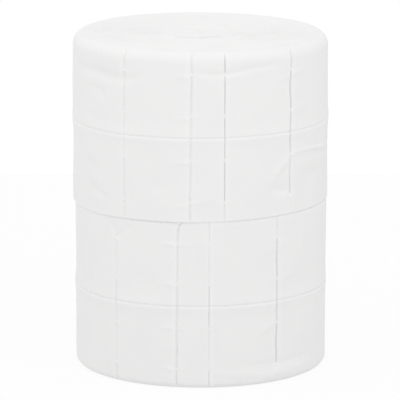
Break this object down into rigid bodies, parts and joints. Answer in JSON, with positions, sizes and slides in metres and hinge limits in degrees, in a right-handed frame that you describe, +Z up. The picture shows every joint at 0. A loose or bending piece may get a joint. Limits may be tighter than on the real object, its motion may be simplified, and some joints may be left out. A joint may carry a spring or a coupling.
{
  "type": "cellulose swab roll",
  "caption": "Column of stacked rolls of perforated white cellulose wadding, each wound up on itself, from which small absorbent swabs are torn.",
  "frame": {"origin": "middle of the underside, on the axis that the strips are wound on", "axes": "+Z up along the winding axis, -Y towards the front, +X to the right"},
  "size_m": [0.1217, 0.1223, 0.16],
  "materials": {
    "wadding": "soft matt creped cellulose wadding, bleached white"
  },
  "bodies": {
    "root": {"upper_roll": "wadding", "lower_roll": "wadding"}
  },
  "joints": []
}
